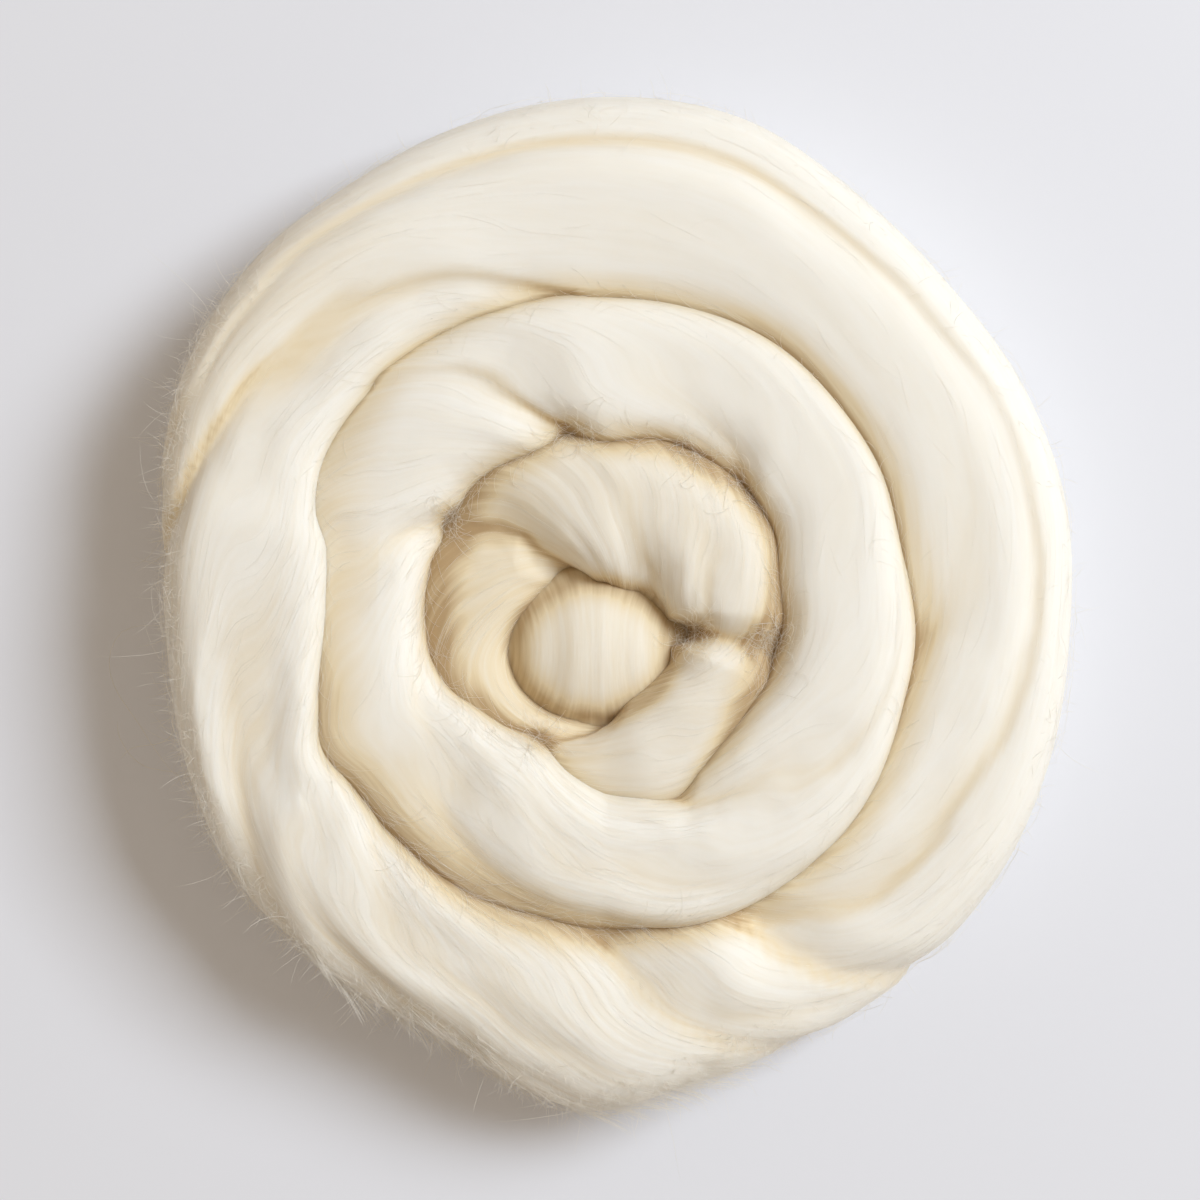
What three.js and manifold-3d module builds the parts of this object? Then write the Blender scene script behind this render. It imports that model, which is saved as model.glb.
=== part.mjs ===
// Wool roving: one length of combed wool top, softly twisted and wound flat into a nest.
// The strand lies in three turns about a rolled-up end. Each turn is a thick soft ring whose
// lobes cross it on a slant, as the twist lays them, and it is pressed into its neighbours,
// so the whole nest is one solid. It rests on the flats that its own weight presses.
//
// Millimetres, +Z up. The origin is under the middle of the nest, on the surface it rests on.
// A bearing is an angle in degrees about the eye of the nest, from +X towards +Y, and a radius
// is measured from the eye.

import * as THREE from "three";
import { mergeVertices } from "three/addons/utils/BufferGeometryUtils.js";
import Module from "manifold-3d";

const WOOL_COLOUR = 0xf2e9d8;
const EYE = { x: -3.11, y: -4.91 }; // what the strand is wound about
const FULLNESS = 2.3; // 2 is an ellipse; more is a fuller section
const SAG = 5; // how far the round section would sink below the surface, and is pressed flat
const TOP_SHARE = 0.4; // crowds the points of a section towards its top
const LIP_BLEND = 7; // width of the step where one lobe laps over the next
const DRAW_IN = 4; // the most that a crease narrows the strand
const FADE_BELOW = 0.6; // how far down the side, from 0 at mid height to 1, a crease still shows
const DEGREE = Math.PI / 180;

// Gives each row of a table the names of its columns.
const table = (columns, rows) =>
  rows.map((row) => Object.fromEntries(columns.map((name, i) => [name, row[i]])));

// A turn of the strand at a bearing: the radius of its inner and outer edge, and its height.
// Where a turn tucks under its neighbour, the edge is the hidden one.
const stations = (rows) => table(["bearing", "inner", "outer", "crest"], rows);

// A crease between two lobes runs out and round: radius from the eye and depth at a bearing.
// A radius past the turn's outer edge runs on down the side of the strand by the excess.
const crease = (width, lip, rows) => ({
  width,
  lip,
  line: table(["bearing", "radius", "depth"], rows),
});

const OUTER_TURN = {
  stepsRound: 96,
  stepsAcross: 24,
  stations: stations([
    [0, 63.5, 102.5, 36],
    [15, 63, 105.2, 36],
    [30, 65.5, 107, 37],
    [45, 67, 108, 37],
    [60, 68.5, 110.7, 37],
    [75, 68.5, 115.5, 37],
    [90, 68, 116.5, 37],
    [105, 68.5, 115, 37],
    [120, 68.5, 112.5, 37],
    [135, 68, 110.5, 38],
    [150, 68.5, 107, 39],
    [158, 65, 103.5, 40],
    [165, 61, 100.5, 41],
    [180, 59, 97, 41],
    [195, 62, 96, 41],
    [203, 65, 96.5, 40],
    [212, 63.5, 97.5, 40],
    [225, 62.5, 97, 39],
    [240, 62, 96.5, 38],
    [250, 61.5, 98, 37],
    [260, 61.5, 104, 36],
    [270, 62, 107, 35],
    [279, 62.5, 103.5, 35],
    [290, 63, 101.5, 35],
    [300, 63, 101.5, 33],
    [315, 63, 102.5, 33],
    [330, 63, 103, 34],
    [345, 63, 102.5, 35],
  ]),
  creases: [
    crease(12, 3, [
      [290, 69, 6],
      [297, 76, 6],
      [300, 83.5, 5],
      [303, 91.5, 4],
      [307, 98, 3.5],
      [313, 108, 2],
    ]),
    crease(12, 0, [
      [297, 74, 4],
      [315, 81.5, 4],
      [330, 84.5, 3.5],
      [345, 88.5, 3],
      [360, 93.5, 2],
      [390, 97, 2],
      [405, 97, 2.5],
      [420, 99, 3],
      [428, 102, 3.5],
      [436, 104.5, 3.5],
      [450, 105.5, 3.5],
      [465, 105.5, 3.5],
      [480, 104.5, 3],
      [495, 103, 3],
      [510, 101, 3],
      [525, 101, 2.5],
      [545, 108, 2],
    ]),
    crease(11, 0, [
      [96, 72, 3],
      [103, 75, 4],
      [112, 81, 2.5],
      [120, 84.5, 3],
      [130, 88, 3.5],
      [140, 89, 3.5],
      [150, 91.5, 3.5],
      [158, 93.5, 3.5],
      [165, 96, 3],
      [173, 99, 3],
      [190, 108, 2],
    ]),
    crease(10, 0, [
      [172, 73, 1],
      [185, 77.5, 2],
      [197, 80.5, 3],
      [205, 84, 3.5],
      [214, 88.5, 3],
      [222, 92.5, 2.5],
      [230, 97, 2],
      [245, 108, 2],
    ]),
    crease(9, 0, [
      [212, 78, 1],
      [222, 84.5, 2.5],
      [231, 87.5, 3.5],
      [237, 89.5, 3],
      [243, 91.5, 2.5],
      [252, 95, 1.5],
      [262, 101, 1],
      [274, 110, 1],
    ]),
    crease(7, 0, [
      [222, 68, 2],
      [230, 75, 2],
      [236, 79, 1.5],
      [243, 80.5, 1.5],
      [252, 84, 1],
      [264, 90, 0.5],
    ]),
    crease(11, 0, [
      [264, 66, 4],
      [271, 71.5, 4],
      [275, 79, 4],
      [280, 86, 3],
      [284, 92.5, 3],
      [289, 98.5, 2.5],
      [296, 108, 2],
    ]),
    crease(9, 0, [
      [353, 67.5, 3],
      [360, 71.5, 3],
      [366, 75, 2.5],
      [376, 80.5, 1.5],
      [386, 85, 0.5],
    ]),
  ],
};

const MIDDLE_TURN = {
  stepsRound: 80,
  stepsAcross: 22,
  stations: stations([
    [0, 37.5, 70, 42],
    [15, 39, 69.5, 42],
    [30, 41, 72.5, 42],
    [45, 41.5, 74, 42],
    [60, 42.5, 75, 41],
    [75, 41.5, 75, 41],
    [88, 39, 74.5, 41],
    [97, 40.5, 75, 40],
    [105, 41, 75, 40],
    [120, 41, 75, 39],
    [135, 41, 75, 38],
    [150, 41, 75, 37],
    [158, 40, 72, 37],
    [165, 39, 68.5, 37],
    [180, 37.5, 66.5, 37],
    [195, 36.5, 69.5, 38],
    [203, 35, 72, 39],
    [212, 33, 70.5, 40],
    [225, 30, 69, 41],
    [240, 28.5, 68.5, 41],
    [255, 29, 68, 41],
    [270, 32, 69, 41],
    [285, 37, 71, 41],
    [300, 37.5, 71, 41],
    [315, 36, 71.5, 41],
    [330, 36, 71, 42],
    [345, 37.5, 70, 42],
  ]),
  creases: [
    crease(12, 2, [
      [96, 40, 6],
      [102, 43, 7],
      [105, 45.5, 7],
      [108, 49.5, 6],
      [112, 55, 4.5],
      [117, 60.5, 3],
      [121, 64, 2],
      [128, 68, 1],
      [138, 73, 0.5],
    ]),
    crease(7, 0, [
      [146, 41.5, 2],
      [153, 45, 2],
      [157, 49, 2],
      [163, 54, 2],
      [170, 57.5, 2],
      [180, 61, 1.5],
      [192, 67, 1],
    ]),
    crease(9, 0, [
      [188, 41, 1],
      [205, 47, 1.5],
      [215, 49, 2],
      [225, 51, 2.5],
      [233, 54.5, 3],
      [240, 57, 3],
      [250, 60, 2.5],
      [262, 62.5, 2],
      [275, 65.5, 1.5],
      [286, 70, 1],
    ]),
    crease(8, 0, [
      [243, 44, 0.5],
      [262, 51, 1.5],
      [275, 54, 1.5],
      [290, 57.5, 1.5],
      [300, 61.5, 1],
      [312, 68, 0.5],
    ]),
    crease(9, 0, [
      [286, 39, 4],
      [296, 42.5, 3.5],
      [303, 44.5, 3],
      [310, 47, 2.5],
      [318, 49.5, 2],
      [326, 54, 2],
      [333, 57, 2],
      [340, 59, 1.5],
      [352, 61, 1],
      [370, 63, 0.5],
    ]),
    crease(9, 0, [
      [42, 42.5, 2],
      [52, 46, 2.5],
      [58, 48.5, 2],
      [65, 51, 1.5],
      [74, 53, 1],
      [86, 56, 0.5],
    ]),
  ],
};

const INNER_TURN = {
  stepsRound: 56,
  stepsAcross: 20,
  stations: stations([
    [0, 16, 43.5, 33],
    [15, 13, 44, 35],
    [30, 11, 44.5, 37],
    [45, 9.5, 45, 38],
    [60, 8.5, 46, 38],
    [75, 8, 46.5, 38],
    [90, 8, 46, 38],
    [105, 9, 46.5, 37],
    [120, 11, 47, 36],
    [135, 13, 47, 35],
    [150, 13.5, 47, 34],
    [165, 14, 46, 34],
    [180, 15, 45, 34],
    [195, 18, 43.5, 34],
    [210, 20, 40.5, 34],
    [225, 21, 37.5, 34],
    [240, 20.5, 36.5, 34],
    [255, 19, 39.5, 35],
    [270, 17, 44, 36],
    [285, 15, 45, 36],
    [300, 14.5, 44, 35],
    [315, 14.5, 43, 34],
    [330, 14.5, 43, 34],
    [345, 15, 43, 33],
  ]),
  creases: [
    crease(9, 0, [
      [356, 15, 14],
      [352, 21, 14],
      [350, 27, 13],
      [350, 34, 13],
      [352, 41, 13],
    ]),
    crease(11, 2.5, [
      [119, 11, 7],
      [126, 16.5, 7],
      [130, 22, 7],
      [131, 28.5, 7],
      [133, 33, 7],
      [138, 38, 7],
      [146, 45, 6],
    ]),
    crease(9, 0, [
      [26, 11, 3],
      [46, 14.5, 3.5],
      [60, 16.5, 3],
      [70, 20, 2.5],
      [77, 23.5, 2],
      [86, 29, 1],
      [95, 34, 0.5],
    ]),
    crease(5, 0, [
      [2, 21, 2],
      [20, 23.5, 1.5],
      [37, 27, 1],
      [55, 32, 0.5],
    ]),
  ],
};

// The rolled-up end in the eye: its middle from the eye, half its size along X and Y, its
// height, and the furrows between its folds, which run along Y.
const CORE = {
  x: -1.6,
  y: -5.3,
  halfX: 19,
  halfY: 17,
  crest: 33,
  stepsRound: 24,
  stepsUp: 12,
  furrowWidth: 6,
  furrows: table(["x", "depth"], [
    [-5, 1.2],
    [6, 2],
  ]),
};

const smooth = (t) => t * t * (3 - 2 * t);
const clamp01 = (t) => Math.min(1, Math.max(0, t));
const power = (value, exponent) => Math.sign(value) * Math.abs(value) ** exponent;

// The turn's edges and height at a bearing, on a smooth closed curve through its stations.
function stationAt(turn, bearing) {
  const rows = turn.stations;
  const count = rows.length;
  const wrapped = ((bearing % 360) + 360) % 360;
  let i = rows.findLastIndex((row) => row.bearing <= wrapped);
  if (i < 0) i = count - 1;
  const row = (k) => {
    const laps = Math.floor(k / count);
    const found = rows[k - laps * count];
    return { ...found, bearing: found.bearing + 360 * laps };
  };
  const [before, from, to, after] = [row(i - 1), row(i), row(i + 1), row(i + 2)];
  const span = to.bearing - from.bearing;
  const t = (wrapped - from.bearing) / span;
  const ease = smooth(t);
  const at = {};
  for (const name of ["inner", "outer", "crest"]) {
    const slopeFrom = (to[name] - before[name]) / (to.bearing - before.bearing);
    const slopeTo = (after[name] - from[name]) / (after.bearing - from.bearing);
    at[name] =
      from[name] +
      (to[name] - from[name]) * ease +
      span * t * (1 - t) * ((1 - t) * slopeFrom - t * slopeTo);
  }
  return at;
}

const middleOf = (at) => (at.inner + at.outer) / 2;
const halfWidthOf = (at) => (at.outer - at.inner) / 2;

// Radius of a circle about as long round as the section, to measure distances round it.
const roundRadius = (at) => (halfWidthOf(at) + at.crest / 2) / 2;

// Where a crease lies on the strand: round the nest, and round the section from the outer edge.
function onStrand(turn, { bearing, radius, depth }) {
  const at = stationAt(turn, bearing);
  const past = radius - at.outer;
  const across = Math.max(-1, (radius - middleOf(at)) / halfWidthOf(at));
  const side =
    past > 0 ? -past / roundRadius(at) : Math.acos(power(across, FULLNESS / 2));
  return { bearing, side, depth };
}

// How deep a crease dents the strand at a bearing and a side angle, less any lip beside it.
function dentOf(points, { width, lip }, bearing, side, at) {
  const round = middleOf(at) * DEGREE;
  const around = roundRadius(at);
  let nearest = Infinity;
  let dent = 0;
  for (let i = 1; i < points.length; i += 1) {
    const [from, to] = [points[i - 1], points[i]];
    const along = (to.bearing - from.bearing) * round;
    const down = (from.side - to.side) * around;
    const x = (bearing - from.bearing) * round;
    const y = (from.side - side) * around;
    const share = clamp01((x * along + y * down) / (along * along + down * down));
    const away = Math.hypot(x - share * along, y - share * down);
    if (away >= nearest || away >= width) continue;
    nearest = away;
    const depth = from.depth + (to.depth - from.depth) * share;
    const ahead = Math.sign(x * down - y * along) * away;
    const lifted = smooth(clamp01(0.5 - ahead / LIP_BLEND));
    dent = (depth - lip * lifted) * (1 - away / width) ** 2;
  }
  return dent;
}

function dentAt(turn, bearing, side, at) {
  let dent = 0;
  for (const { points, shape } of turn.laid)
    for (const lap of [0, 360])
      for (const under of [0, 2 * Math.PI])
        dent += dentOf(points, shape, bearing + lap, side - under, at);
  return dent;
}

// A point of the strand's surface: side 0 is its outer edge and 90 degrees its top.
function strandPoint(turn, bearing, side) {
  const at = stationAt(turn, bearing);
  const halfHeight = (at.crest + SAG) / 2;
  const outwards = Math.cos(side);
  const upwards = Math.sin(side);
  const dent = dentAt(turn, bearing, side, at) * smooth(clamp01(1 + upwards / FADE_BELOW));
  const radius =
    middleOf(at) +
    power(outwards, 2 / FULLNESS) * halfWidthOf(at) -
    outwards * Math.min(dent, DRAW_IN);
  const height =
    at.crest - halfHeight + power(upwards, 2 / FULLNESS) * halfHeight - upwards * dent;
  return new THREE.Vector3(
    radius * Math.cos(bearing * DEGREE),
    radius * Math.sin(bearing * DEGREE),
    Math.max(0, height),
  );
}

// A turn is a torus whose points are moved onto the strand's surface.
function turnGeometry(turn) {
  turn.laid = turn.creases.map((shape) => ({
    shape,
    points: shape.line.map((row) => onStrand(turn, row)),
  }));
  const geometry = new THREE.TorusGeometry(1, 0.5, turn.stepsAcross, turn.stepsRound);
  const { position } = geometry.attributes;
  for (let j = 0, i = 0; j <= turn.stepsAcross; j += 1)
    for (let k = 0; k <= turn.stepsRound; k += 1, i += 1) {
      const lap = (j % turn.stepsAcross) / turn.stepsAcross;
      const even = 2 * Math.PI * lap;
      const side = even + TOP_SHARE * Math.cos(even);
      const bearing = (360 * (k % turn.stepsRound)) / turn.stepsRound;
      const point = strandPoint(turn, bearing, side);
      position.setXYZ(i, point.x, point.y, point.z);
    }
  return geometry;
}

// The core is a ball with furrows, pressed flat underneath.
function coreGeometry() {
  const halfHeight = (CORE.crest + SAG) / 2;
  const geometry = new THREE.SphereGeometry(1, CORE.stepsRound, CORE.stepsUp);
  geometry.rotateX(Math.PI / 2);
  const { position } = geometry.attributes;
  for (let i = 0; i < position.count; i += 1) {
    const out = new THREE.Vector3().fromBufferAttribute(position, i);
    const x = power(out.x, 2 / FULLNESS) * CORE.halfX;
    const dent = CORE.furrows.reduce(
      (sum, furrow) =>
        sum +
        furrow.depth * Math.max(0, 1 - Math.abs(x - furrow.x) / CORE.furrowWidth) ** 2,
      0,
    );
    const y = power(out.y, 2 / FULLNESS) * (CORE.halfY - dent);
    const z = power(out.z, 2 / FULLNESS) * (halfHeight - dent);
    position.setXYZ(
      i,
      CORE.x + x,
      CORE.y + y,
      Math.max(0, CORE.crest - halfHeight + z),
    );
  }
  return geometry;
}

const wasm = await Module();
wasm.setup();

function solidOf(geometry) {
  geometry.deleteAttribute("normal");
  geometry.deleteAttribute("uv");
  const merged = mergeVertices(geometry, 1e-4);
  return new wasm.Manifold(
    new wasm.Mesh({
      numProp: 3,
      vertProperties: merged.attributes.position.array,
      triVerts: new Uint32Array(merged.index.array),
    }),
  );
}

function geometryOf(solid) {
  const mesh = solid.getMesh();
  const geometry = new THREE.BufferGeometry();
  geometry.setAttribute("position", new THREE.BufferAttribute(mesh.vertProperties, 3));
  geometry.setIndex(new THREE.BufferAttribute(mesh.triVerts, 1));
  geometry.computeVertexNormals();
  return geometry;
}

const turns = [OUTER_TURN, MIDDLE_TURN, INNER_TURN].map((turn) =>
  solidOf(turnGeometry(turn)),
);
const nest = turns.reduce((all, turn) => all.add(turn), solidOf(coreGeometry()));

const roving = new THREE.Mesh(
  geometryOf(nest),
  new THREE.MeshStandardMaterial({ color: WOOL_COLOUR, roughness: 0.95, metalness: 0 }),
);
roving.name = "roving";
roving.position.set(EYE.x, EYE.y, 0);

const group = new THREE.Group();
group.add(roving);

export default group;
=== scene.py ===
# %% [markdown]
# # A nest of combed wool roving
#
# Roving is wool that has been washed, carded and combed until its fibres lie side by side in one
# long soft strand, as thick as a wrist and held together by hardly any twist. This one is wound
# flat in three turns about its own rolled-up end. The lesson dresses the plain CAD solid: first
# the turns, with the lobes that the twist lays across them, then the wool itself, and last the
# thousands of fine fibres that make wool look soft.
#
# Everything lives in the CAD frame: metres, +Z up, the nest resting on z = 0.

import math

import bpy
import numpy as np
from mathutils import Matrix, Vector


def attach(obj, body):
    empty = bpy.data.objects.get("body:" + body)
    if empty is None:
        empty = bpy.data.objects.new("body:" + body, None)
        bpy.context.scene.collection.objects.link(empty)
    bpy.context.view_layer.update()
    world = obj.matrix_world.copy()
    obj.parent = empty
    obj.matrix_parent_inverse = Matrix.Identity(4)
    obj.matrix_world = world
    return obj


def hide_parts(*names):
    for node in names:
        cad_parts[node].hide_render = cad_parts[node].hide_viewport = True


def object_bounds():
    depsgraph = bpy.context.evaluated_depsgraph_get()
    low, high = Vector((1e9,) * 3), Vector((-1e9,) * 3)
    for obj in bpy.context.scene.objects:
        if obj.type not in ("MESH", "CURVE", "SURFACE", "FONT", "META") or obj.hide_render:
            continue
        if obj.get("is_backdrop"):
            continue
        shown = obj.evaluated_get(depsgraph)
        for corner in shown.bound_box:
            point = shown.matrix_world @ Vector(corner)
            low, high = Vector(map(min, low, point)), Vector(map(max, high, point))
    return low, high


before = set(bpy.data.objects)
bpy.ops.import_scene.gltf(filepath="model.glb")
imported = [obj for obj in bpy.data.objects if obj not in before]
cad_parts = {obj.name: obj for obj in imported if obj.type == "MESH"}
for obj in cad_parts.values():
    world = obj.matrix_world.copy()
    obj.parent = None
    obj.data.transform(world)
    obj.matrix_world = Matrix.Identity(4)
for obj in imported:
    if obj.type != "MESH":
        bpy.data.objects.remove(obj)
cad_box = [list(corner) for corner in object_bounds()]
bpy.ops.object.select_all(action="DESELECT")
print("CAD box, metres:", cad_box)

# %% [markdown]
# ## The driving sizes
#
# The sizes are in millimetres and are turned into metres only where a mesh is made. A bearing is
# an angle in degrees about the eye of the nest, from +X towards +Y. Each turn of the strand is
# described by a short table: at a few bearings, how far its inner and outer edges are from the
# eye, how high it stands, at what angle its fibres cross its run, and which of its edges rides
# over the next turn: 1 for the outer edge, -1 for the inner one, 0 for neither, or a share.

# %% Sizes shared by all the turns
MM = 0.001
DEGREE = math.pi / 180
EYE = (-3.11, -4.91)
FULLNESS = 2.45  # 2 is an ellipse; more is a fuller section
FULL_OVER = 1.0  # how much fuller the edge is that rides over its neighbour
FULL_HELD = 0.6  # how much fuller its other edge is, which is held down
FULL_RIM = 0.2  # how much fuller the outermost edge of the nest is
ROUGH_FLANK = 2.5  # how much coarser the locks are down the sides
FLANK_TOP, FLANK_FADE = 0.1, 0.5  # where on the side that starts, and over how much it comes in
SAG = 5.0  # how far the round section would sink below the floor, and is pressed flat
TOP_SHARE = 0.4  # crowds the points of a section towards its top
LIP_BLEND = 4.0  # width of the step where one lobe laps over the next
DRAW_IN = 4.0  # the most that a crease narrows the strand
FADE_BELOW = 0.6  # how far down the side, from 0 at mid height to 1, a crease still shows
print("the eye of the nest is at", EYE, "mm")

# %% The outer turn: bearing, inner edge, outer edge, crest, twist, over
OUTER_STATIONS = (
    (0, 55.5, 102.5, 36, 12, 0),
    (15, 55, 105, 36, 10, 0),
    (30, 57.5, 105.9, 37, 8, 0),
    (45, 59, 106.2, 37, 8, 0),
    (60, 60.5, 109.5, 37, 7, 0),
    (75, 60.5, 115, 37, 7, 0),
    (90, 60, 115.7, 37, 10, 0),
    (105, 60.5, 114.1, 37, 14, 0),
    (120, 67, 111.5, 38, 14, -0.2),
    (135, 67, 110.5, 39, 13, -0.6),
    (150, 67, 107, 40, 14, -0.8),
    (158, 63, 103.5, 40, 17, -1),
    (165, 58.8, 100.5, 41, 21, -1),
    (180, 57.3, 95.7, 41, 25, -1),
    (195, 59.7, 96, 41, 23, -1),
    (203, 62.6, 96.5, 41, 20, -1),
    (212, 60.8, 97.5, 41, 18, -0.9),
    (225, 60.2, 97.8, 40.5, 20, -0.7),
    (240, 60.8, 96.5, 39.5, 22, -0.4),
    (250, 58.5, 98, 38, 24, -0.1),
    (260, 53, 104, 36.5, 30, 0),
    (270, 52, 107, 35.5, 40, 0),
    (279, 54.5, 103.5, 35, 43, 0),
    (290, 55, 101.5, 35, 44, 0),
    (300, 55, 101.5, 33, 38, 0),
    (315, 55, 102.5, 33, 18, 0),
    (330, 55, 103, 34, 14, 0),
    (345, 55, 102.5, 35, 12, 0),
)

# %% The middle turn
MIDDLE_STATIONS = (
    (0, 36.2, 68.1, 39, 14, 1),
    (15, 36, 68.3, 38.3, 12, 1),
    (30, 39.4, 71.8, 37.8, 12, 1),
    (45, 38.5, 73, 37.8, 14, 1),
    (60, 39.7, 74.2, 37.8, 18, 1),
    (75, 38.5, 74, 37.8, 24, 1),
    (88, 35.4, 73.8, 38.5, 32, 1),
    (97, 34.8, 74, 39, 38, 1),
    (105, 36.2, 74, 39, 40, 1),
    (120, 38, 76.5, 38.5, 38, 0.2),
    (135, 39, 79, 38, 36, 0),
    (150, 38.2, 79, 37, 35, -0.3),
    (158, 39.5, 78, 37, 34, -0.7),
    (165, 39, 75, 37, 32, -1),
    (180, 38, 73, 37, 26, -1),
    (195, 36.5, 74.3, 38, 19, -1),
    (203, 34.8, 75, 38.5, 15, -1),
    (212, 32, 69.8, 39, 14, -1),
    (225, 30, 68.4, 39.5, 14, -1),
    (240, 28.5, 68, 40, 15, -1),
    (255, 31.3, 68.5, 40.5, 16, -0.6),
    (270, 34.2, 68.5, 40.5, 18, 0),
    (285, 35.8, 69, 39.5, 20, 1),
    (300, 34.2, 69, 39.5, 22, 1),
    (315, 32, 69.5, 39.5, 22, 1),
    (330, 32.2, 69.3, 39.5, 20, 1),
    (345, 35.2, 68, 39.5, 16, 1),
)

# %% The inner turn
INNER_STATIONS = (
    (0, 13, 43, 37, 12, 0),
    (15, 11.5, 43.5, 37.5, 14, 0.2),
    (30, 10, 45, 37.5, 26, 0.4),
    (45, 8.5, 46, 37.5, 36, 0.1),
    (60, 7.5, 46.5, 37.5, 44, 0),
    (75, 7.5, 46, 37.5, 52, 0.2),
    (90, 8, 44.5, 37.5, 56, 0.3),
    (105, 8.5, 46, 36.5, 56, 0.2),
    (120, 10, 48, 35, 52, 0),
    (135, 12, 49, 32.5, 44, 0),
    (150, 12.5, 48, 31, 34, 0),
    (165, 13.3, 46.5, 30.5, 26, 0),
    (180, 16, 45.5, 30, 20, 0),
    (195, 19.3, 44.5, 30, 14, 0),
    (210, 20.6, 41.5, 30, 6, 0),
    (225, 20.8, 39, 30, -4, 0),
    (240, 20.5, 37, 30.5, -12, 0),
    (255, 19.2, 40, 32, -18, 0),
    (270, 17.5, 42, 33.5, -10, 0.2),
    (285, 15.5, 43.5, 35.5, 2, 0.4),
    (300, 14.5, 43, 36, 14, 0.6),
    (315, 14.5, 41, 36.5, 26, 0.5),
    (330, 14.5, 42, 36.5, 32, 0.1),
    (345, 13, 43, 36.5, 24, 0),
)
print("stations:", len(OUTER_STATIONS), len(MIDDLE_STATIONS), len(INNER_STATIONS))

# %% [markdown]
# ## Where the lobes meet
#
# The twist divides each turn into long lobes that cross it on a slant. Where two lobes meet there
# is a crease. A crease has a width, a lip, which is how much higher the lobe on its inner side
# stands where it laps over the next one, and a sharpness, from 0, a soft trough, to 1, a fold.
# Then comes a row of places: a bearing, a radius from the eye and a depth. A radius past the
# turn's outer edge means that the crease runs on down the side of the strand.

# %% The creases of the outer turn
OUTER_CREASES = (
    # width, lip, sharpness and the places
    (12, 2, 0.5, (
        (290, 62, 4.5), (297, 76, 4.5), (300, 83.5, 4), (303, 91.5, 3.5), (307, 98, 3),
        (313, 108, 1.5),
    )),
    (9.5, 1.1, 0.5, (
        (297, 72, 3), (315, 81.5, 3.4), (330, 84.5, 3), (345, 88.5, 2.6), (360, 93.5, 1.6),
        (390, 97, 1), (405, 97, 1.4), (420, 99, 2.4), (428, 102, 3), (436, 104.5, 3.2),
        (450, 105.5, 3.2), (465, 105.5, 3), (480, 104.5, 2), (495, 103, 1.3), (510, 101, 1),
        (525, 101, 0.8), (545, 108, 0.8),
    )),
    (9.5, 1.8, 0.65, (
        (96, 72, 1.6), (103, 75, 2.4), (112, 81, 1.6), (120, 84.5, 2.4), (130, 88, 3.2),
        (140, 89, 3.8), (150, 91.5, 4), (158, 93.5, 4), (165, 96, 3.2), (173, 99, 2.4),
        (190, 108, 0.8),
    )),
    (10, 0, 0.2, (
        (172, 74, 0.6), (185, 77.5, 2.2), (197, 80.5, 3.2), (205, 84.5, 3.2), (214, 90.5, 2.6),
        (222, 95, 1.8), (230, 99, 1), (245, 108, 0.3),
    )),
    (10, 0.5, 0.2, (
        (212, 78, 0.8), (222, 85.5, 1.8), (231, 89.5, 2.6), (237, 91.5, 2.2), (243, 93, 1.4),
        (252, 95, 0.8), (262, 101, 0.4), (274, 110, 0.2),
    )),
    (8, 0.3, 0.3, (
        (222, 68, 1.4), (230, 75, 1.8), (236, 79, 2), (243, 80.5, 2), (250, 84, 1.6),
        (257, 89, 1.4), (265, 93, 1.2), (272, 98, 0.4),
    )),
    (12, 1, 0.5, (
        (264, 60, 3.2), (271, 71.5, 3.4), (275, 79, 3.4), (280, 86, 3), (284, 92.5, 2.6),
        (289, 98.5, 2), (296, 108, 1),
    )),
    (9, 0, 0.3, ((286, 88, 1.2), (291, 91, 1.6), (296, 94, 1.2), (303, 97, 0.6))),
    (12, 0, 0.2, (
        (353, 62, 2.4), (360, 71.5, 2.2), (366, 75, 1.8), (376, 80.5, 1), (386, 85, 0.3),
    )),
)

# %% The creases of the middle turn
MIDDLE_CREASES = (
    # width, lip, sharpness and the places
    (12, 1.5, 0.6, (
        (96, 35, 5), (102, 43, 5.5), (105, 45.5, 5.5), (108, 49.5, 4.6), (112, 55, 3.2),
        (117, 60.5, 2), (121, 64, 1.2), (128, 68, 0.6), (138, 73, 0.3),
    )),
    (9, 0, 0.4, (
        (146, 39, 1.8), (153, 45, 2.2), (157, 49, 2), (163, 54, 1.6), (170, 57.5, 1.2),
        (180, 61, 1), (192, 67, 0.5),
    )),
    (11, 0.5, 0.3, (
        (188, 41, 0.6), (205, 47, 1.2), (215, 49, 1.8), (225, 51, 2.6), (233, 54.5, 3),
        (240, 57, 3), (250, 60, 2.4), (262, 62.5, 1.6), (275, 65.5, 1), (286, 70, 0.5),
    )),
    (9, 0, 0.3, (
        (243, 44, 0.3), (262, 51, 1.3), (275, 54, 1.4), (290, 57.5, 1.3), (300, 61.5, 0.8),
        (312, 68, 0.3),
    )),
    (10, 0.5, 0.5, (
        (286, 34, 3.6), (296, 42.5, 3.2), (303, 44.5, 2.8), (310, 47, 2.2), (318, 49.5, 1.8),
        (326, 54, 1.8), (333, 57, 1.8), (340, 59, 1.2), (352, 61, 0.6), (370, 63, 0.3),
    )),
    (10, 0, 0.3, (
        (42, 40, 1.8), (52, 46, 2.2), (58, 48.5, 1.8), (65, 51, 1.2), (74, 53, 0.8), (86, 56, 0.3),
    )),
)

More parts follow.
